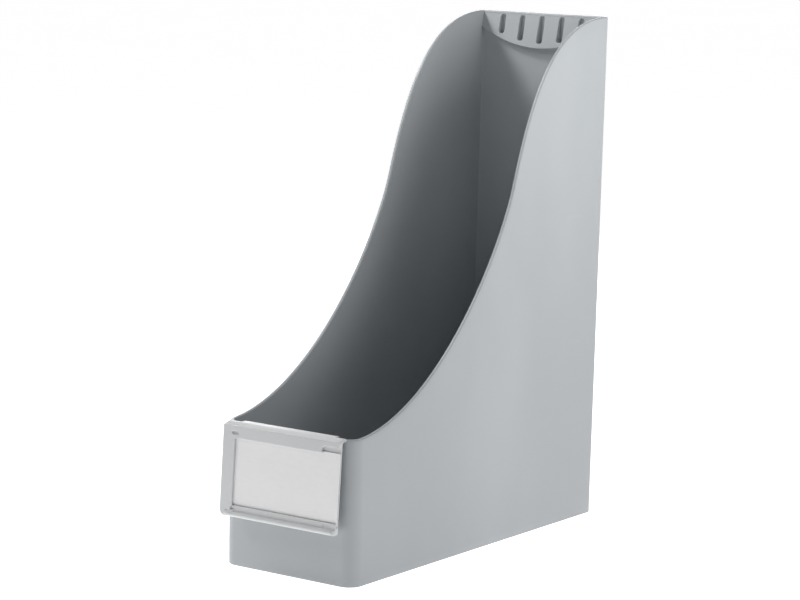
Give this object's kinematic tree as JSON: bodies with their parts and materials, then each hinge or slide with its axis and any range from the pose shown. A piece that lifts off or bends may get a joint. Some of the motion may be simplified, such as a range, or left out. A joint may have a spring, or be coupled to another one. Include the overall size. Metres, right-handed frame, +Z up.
{
  "type": "magazine file holder",
  "caption": "Upright open bin for magazines with S-curved sides, a slotted finger rail at the back and a hook-on label holder with a sliding card at the front.",
  "frame": {"origin": "centre of the footprint, label holder included, on the surface that the file stands on", "axes": "+Z up, front with the label towards -Y, +X to the right seen from the front"},
  "size_m": [0.1, 0.2874, 0.336],
  "materials": {
    "bin_plastic": "light grey moulded polystyrene, fine satin texture",
    "holder_plastic": "paler grey moulded plastic, satin",
    "card_paper": "blank white uncoated card"
  },
  "bodies": {
    "bin": {"file_body": "bin_plastic"},
    "holder": {"label_holder": "holder_plastic"},
    "card": {"label_card": "card_paper"}
  },
  "joints": [
    {"name": "holder_lift", "type": "slide", "parent": "bin", "child": "holder", "axis": [0, 0, 1], "range_m": [0, 0.012]},
    {"name": "card_slide", "type": "slide", "parent": "holder", "child": "card", "axis": [1, 0, 0], "range_m": [0, 0.082]}
  ]
}
